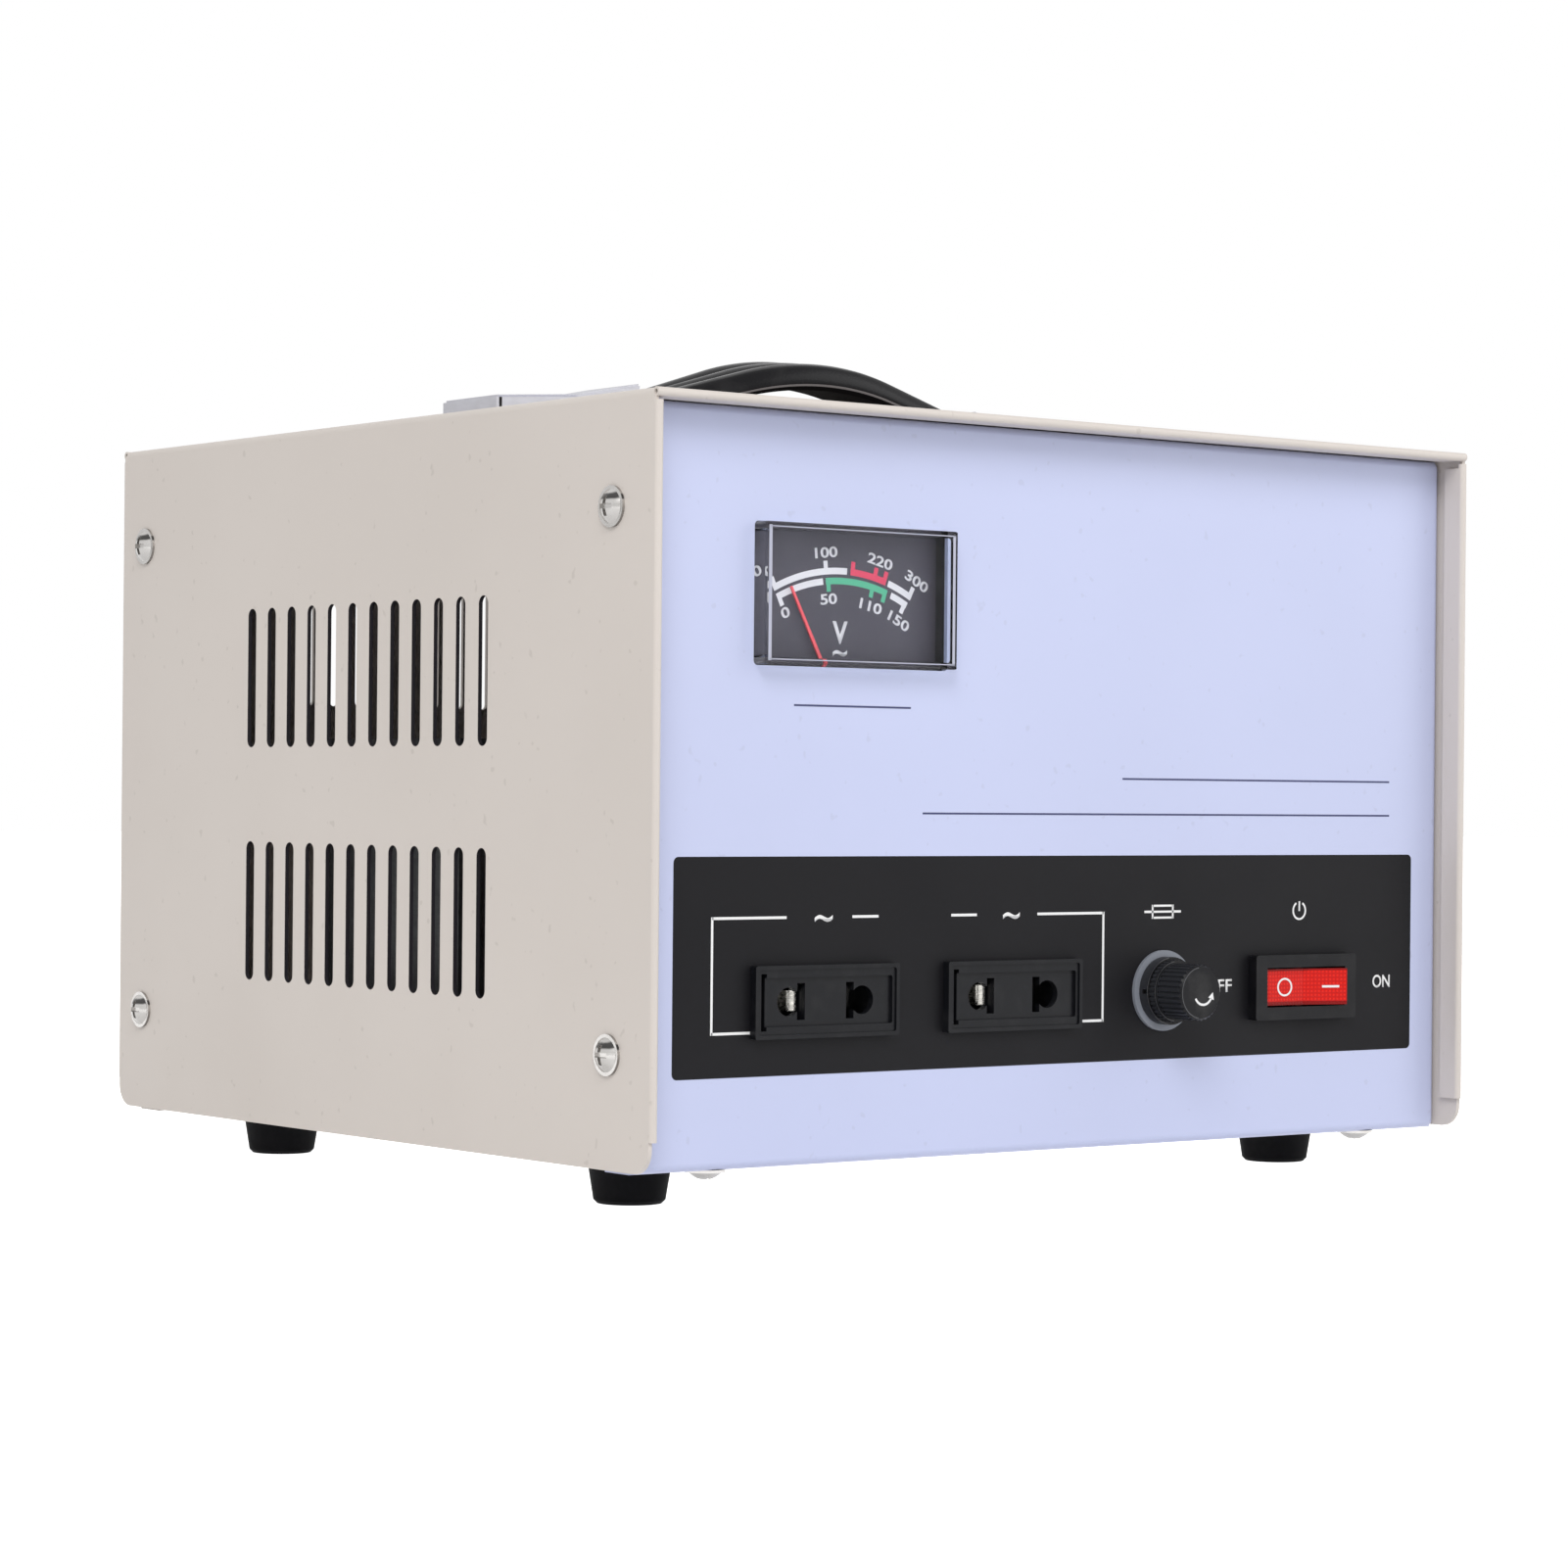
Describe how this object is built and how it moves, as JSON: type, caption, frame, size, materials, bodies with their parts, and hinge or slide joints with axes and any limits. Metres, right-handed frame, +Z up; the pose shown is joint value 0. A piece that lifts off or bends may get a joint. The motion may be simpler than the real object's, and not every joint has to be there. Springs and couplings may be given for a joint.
{
  "type": "voltage stabilizer",
  "caption": "Mains voltage stabilizer in a vented folded-steel case with strap handle, pointer meter, outlet sockets, fuse holder and rocker switch.",
  "frame": {"origin": "on the floor under the middle of the whole, feet included", "axes": "+X to the right seen from the front, +Y to the back, +Z up"},
  "size_m": [0.2342, 0.2219, 0.1853],
  "materials": {
    "cover_paint": "satin",
    "panel_paint": "satin",
    "base_steel": "satin",
    "foot_rubber": "matte",
    "screw_nickel": "bright",
    "nut_steel": "satin",
    "strap_vinyl": "satin",
    "cap_metal": "satin",
    "window_clear": "gloss",
    "meter_black": "matte",
    "dial_grey": "matte",
    "pointer_red": "satin",
    "shaft_steel": "bright",
    "plain_brass": "satin",
    "copper_wire": "satin",
    "socket_black": "satin",
    "contact_metal": "bright",
    "fuse_black": "satin",
    "ring_grey": "matte",
    "fuse_glass": "gloss",
    "switch_black": "satin",
    "rocker_red": "gloss",
    "core_steel": "satin",
    "bobbin_nylon": "matte",
    "board_green": "satin",
    "relay_blue": "satin",
    "capacitor_sleeve": "gloss",
    "sink_aluminium": "satin",
    "terminal_green": "satin",
    "gland_black": "matte"
  },
  "bodies": {
    "case": {"cover": "cover_paint", "front_panel": "panel_paint", "rear_panel": "cover_paint", "base_plate": "base_steel", "foot_front_left": "foot_rubber", "foot_front_right": "foot_rubber", "foot_rear_left": "foot_rubber", "foot_rear_right": "foot_rubber", "foot_screws": "screw_nickel", "foot_nuts": "nut_steel", "side_screws": "screw_nickel", "side_nuts": "nut_steel", "base_screws": "screw_nickel", "base_nuts": "nut_steel", "handle_strap": "strap_vinyl", "handle_cap_left": "cap_metal", "handle_cap_right": "cap_metal", "handle_screws": "nut_steel", "handle_nuts": "nut_steel", "meter_window": "window_clear", "meter_case": "meter_black", "meter_dial": "dial_grey", "meter_frame": "plain_brass", "meter_coil": "copper_wire", "meter_bridge": "nut_steel", "meter_nuts": "nut_steel", "socket_left": "socket_black", "socket_right": "socket_black", "socket_left_contacts": "contact_metal", "socket_right_contacts": "contact_metal", "fuse_holder": "fuse_black", "fuse_ring": "ring_grey", "fuse_nut": "fuse_black", "fuse_terminals": "contact_metal", "switch_body": "switch_black", "switch_terminals": "contact_metal", "transformer_core": "core_steel", "transformer_bobbin": "bobbin_nylon", "transformer_winding": "copper_wire", "transformer_brackets": "nut_steel", "core_bolts": "nut_steel", "core_nuts": "nut_steel", "bracket_bolts": "screw_nickel", "bracket_nuts": "nut_steel", "control_board": "board_green", "board_standoffs": "plain_brass", "board_screws": "screw_nickel", "board_nuts": "nut_steel", "relays": "relay_blue", "capacitors": "capacitor_sleeve", "heat_sink": "sink_aluminium", "terminal_block": "terminal_green", "cord_gland": "gland_black", "gland_nut": "gland_black", "earth_screw": "plain_brass"},
    "switch_rocker": {"switch_rocker": "rocker_red"},
    "meter_pointer": {"meter_pointer": "pointer_red", "pointer_shaft": "shaft_steel"},
    "fuse_link": {"fuse_link": "fuse_glass"},
    "fuse_cap": {"fuse_cap": "fuse_black"}
  },
  "joints": [
    {"name": "rocker_press", "type": "hinge", "parent": "case", "child": "switch_rocker", "pos_m": [0.0693, -0.09775, 0.0425], "axis": [0, 0, 1], "range_deg": [0, 18]},
    {"name": "pointer_swing", "type": "hinge", "parent": "case", "child": "meter_pointer", "pos_m": [-0.05971, -0.08605, 0.1015], "axis": [0, 1, 0], "range_deg": [-6, 65], "stiffness_Nm_per_rad": 0.0005},
    {"name": "fuse_draw", "type": "slide", "parent": "case", "child": "fuse_link", "axis": [0, -1, 0], "range_m": [0, 0.028]},
    {"name": "fuse_cap_turn", "type": "hinge", "parent": "fuse_link", "child": "fuse_cap", "pos_m": [0.0276, -0.10105, 0.0425], "axis": [0, 1, 0], "range_deg": [-90, 0]}
  ]
}
